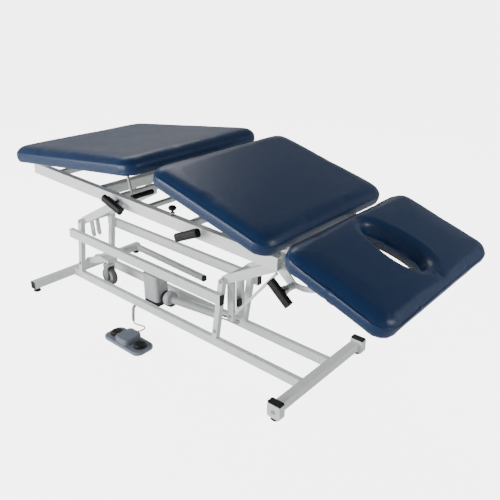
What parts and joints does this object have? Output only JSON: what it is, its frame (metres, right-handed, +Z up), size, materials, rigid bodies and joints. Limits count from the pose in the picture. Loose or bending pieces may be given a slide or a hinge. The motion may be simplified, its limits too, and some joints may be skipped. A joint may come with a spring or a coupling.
{
  "type": "treatment table",
  "caption": "Powered height-adjustable medical exam table with a raised centre ridge, hinged cushion sections, a face slot, a crank-and-arm lift base, a caster and a foot pedal.",
  "frame": {"origin": "centre of the object's footprint, on the floor", "axes": "+X towards the head end with the face slot, +Y towards the far side, away from the foot pedal, +Z up"},
  "size_m": [2.009, 0.762, 0.8675],
  "materials": {
    "frame_paint": "satin powder coat",
    "vinyl": "satin vinyl",
    "black_plastic": "matte",
    "board": "painted board",
    "motor_plastic": "matte",
    "pedal_plastic": "matte",
    "cord": "matte",
    "bright_steel": "polished",
    "zinc": "plated",
    "tyre": "matte"
  },
  "bodies": {
    "base": {"front_rail": "frame_paint", "rear_rail": "frame_paint", "foot_crossbar": "frame_paint", "head_crossbar": "frame_paint", "front_head_stub": "frame_paint", "front_stub_cap": "black_plastic", "front_head_glide": "black_plastic", "front_foot_glide": "black_plastic", "rear_head_stub": "frame_paint", "rear_stub_cap": "black_plastic", "rear_head_glide": "black_plastic", "rear_foot_glide": "black_plastic", "front_foot_post": "frame_paint", "rear_foot_post": "frame_paint", "front_head_post": "frame_paint", "rear_head_post": "frame_paint", "front_side_bar": "frame_paint", "rear_side_bar": "frame_paint", "lock_bar": "frame_paint", "motor_housing": "motor_plastic", "gear_housing": "black_plastic", "actuator_tube": "motor_plastic", "pedal_base": "pedal_plastic", "pedal_cord": "cord"},
    "head_arms": {"front_head_arm": "frame_paint", "rear_head_arm": "frame_paint", "head_torque_tube": "frame_paint", "front_lever": "frame_paint", "rear_lever": "frame_paint", "lever_brace": "frame_paint"},
    "foot_arms": {"front_foot_arm": "frame_paint", "rear_foot_arm": "frame_paint", "foot_torque_tube": "frame_paint"},
    "ram": {"actuator_rod": "bright_steel"},
    "upper_frame": {"front_channel": "frame_paint", "rear_channel": "frame_paint", "foot_cross_tube": "frame_paint", "stay_cross_tube": "frame_paint", "centre_cross_tube": "frame_paint", "crank_cross_tube": "frame_paint", "foot_hanger": "frame_paint", "head_hanger": "frame_paint"},
    "centre_section": {"centre_deck": "board", "centre_cushion": "vinyl"},
    "foot_section": {"foot_deck": "board", "foot_cushion": "vinyl"},
    "prop": {"prop_rod": "bright_steel", "prop_slider": "black_plastic"},
    "head_section": {"head_deck": "board", "head_cushion": "vinyl", "head_quadrant": "frame_paint"},
    "foot_clamp": {"foot_clamp_handle": "black_plastic"},
    "centre_clamp": {"centre_clamp_handle": "black_plastic"},
    "head_clamp": {"head_clamp_handle": "black_plastic"},
    "knob": {"lock_knob": "black_plastic"},
    "caster_swing_arm": {"caster_arm": "frame_paint"},
    "caster_swivel_fork": {"caster_fork": "zinc"},
    "wheel": {"caster_wheel": "tyre"},
    "pedal_down": {"pedal_down_pad": "black_plastic"},
    "pedal_up": {"pedal_up_pad": "black_plastic"}
  },
  "joints": [
    {"name": "head_lift", "type": "hinge", "parent": "base", "child": "head_arms", "pos_m": [0.1205, 0, 0.343], "axis": [0, -1, 0], "range_deg": [-26, 36]},
    {"name": "foot_lift", "type": "hinge", "parent": "base", "child": "foot_arms", "pos_m": [-0.8635, 0, 0.351], "axis": [0, -1, 0], "range_deg": [-26, 36]},
    {"name": "frame_level", "type": "hinge", "parent": "head_arms", "child": "upper_frame", "pos_m": [0.4985, 0, 0.5475], "axis": [0, -1, 0], "range_deg": [-36, 26]},
    {"name": "ram_slide", "type": "slide", "parent": "base", "child": "ram", "axis": [0.9947, 0, 0.1031], "range_m": [-0.0865, 0.1197]},
    {"name": "centre_tilt", "type": "hinge", "parent": "upper_frame", "child": "centre_section", "pos_m": [0.5095, 0, 0.636], "axis": [0, 1, 0], "range_deg": [-13.2, 0]},
    {"name": "foot_fold", "type": "hinge", "parent": "centre_section", "child": "foot_section", "pos_m": [-0.0295, 0, 0.786], "axis": [0, 1, 0], "range_deg": [0, 21.3]},
    {"name": "prop_fold", "type": "hinge", "parent": "foot_section", "child": "prop", "pos_m": [-0.3095, 0, 0.768], "axis": [0, 1, 0], "range_deg": [-67.5, 0]},
    {"name": "head_tilt", "type": "hinge", "parent": "upper_frame", "child": "head_section", "pos_m": [0.5885, 0, 0.645], "axis": [0, -1, 0], "range_deg": [-5, 32]},
    {"name": "foot_clamp_turn", "type": "hinge", "parent": "upper_frame", "child": "foot_clamp", "pos_m": [-0.319, -0.285, 0.619], "axis": [0, 1, 0], "range_deg": [-60, 60]},
    {"name": "centre_clamp_turn", "type": "hinge", "parent": "upper_frame", "child": "centre_clamp", "pos_m": [0.1255, -0.285, 0.606], "axis": [0, 1, 0], "range_deg": [-60, 60]},
    {"name": "head_clamp_turn", "type": "hinge", "parent": "upper_frame", "child": "head_clamp", "pos_m": [0.5605, -0.285, 0.521], "axis": [0, 1, 0], "range_deg": [-60, 60]},
    {"name": "knob_turn", "type": "hinge", "parent": "upper_frame", "child": "knob", "pos_m": [-0.0106, -0.23, 0.64], "axis": [0, 0, 1], "continuous": true},
    {"name": "caster_lift", "type": "hinge", "parent": "base", "child": "caster_swing_arm", "pos_m": [-0.9005, 0, 0.107], "axis": [0, -1, 0], "range_deg": [0, 10]},
    {"name": "caster_swivel", "type": "hinge", "parent": "caster_swing_arm", "child": "caster_swivel_fork", "pos_m": [-0.7575, -0.03, 0.13], "axis": [0, 0, 1], "continuous": true},
    {"name": "wheel_roll", "type": "hinge", "parent": "caster_swivel_fork", "child": "wheel", "pos_m": [-0.7575, -0.03, 0.051], "axis": [0, 1, 0], "continuous": true},
    {"name": "pedal_down_press", "type": "slide", "parent": "base", "child": "pedal_down", "axis": [0, 0, -1], "range_m": [0, 0.0025], "stiffness_N_per_m": 900, "springref_m": -0.001},
    {"name": "pedal_up_press", "type": "slide", "parent": "base", "child": "pedal_up", "axis": [0, 0, -1], "range_m": [0, 0.0025], "stiffness_N_per_m": 900, "springref_m": -0.001}
  ],
  "couplings": [
    {"joint": "foot_lift", "follows": "head_lift", "ratio": 1},
    {"joint": "frame_level", "follows": "head_lift", "ratio": -1},
    {"joint": "ram_slide", "follows": "head_lift", "m_per_rad": 0.19},
    {"joint": "foot_fold", "follows": "centre_tilt", "ratio": -1.61},
    {"joint": "prop_fold", "follows": "centre_tilt", "ratio": 5.11}
  ]
}
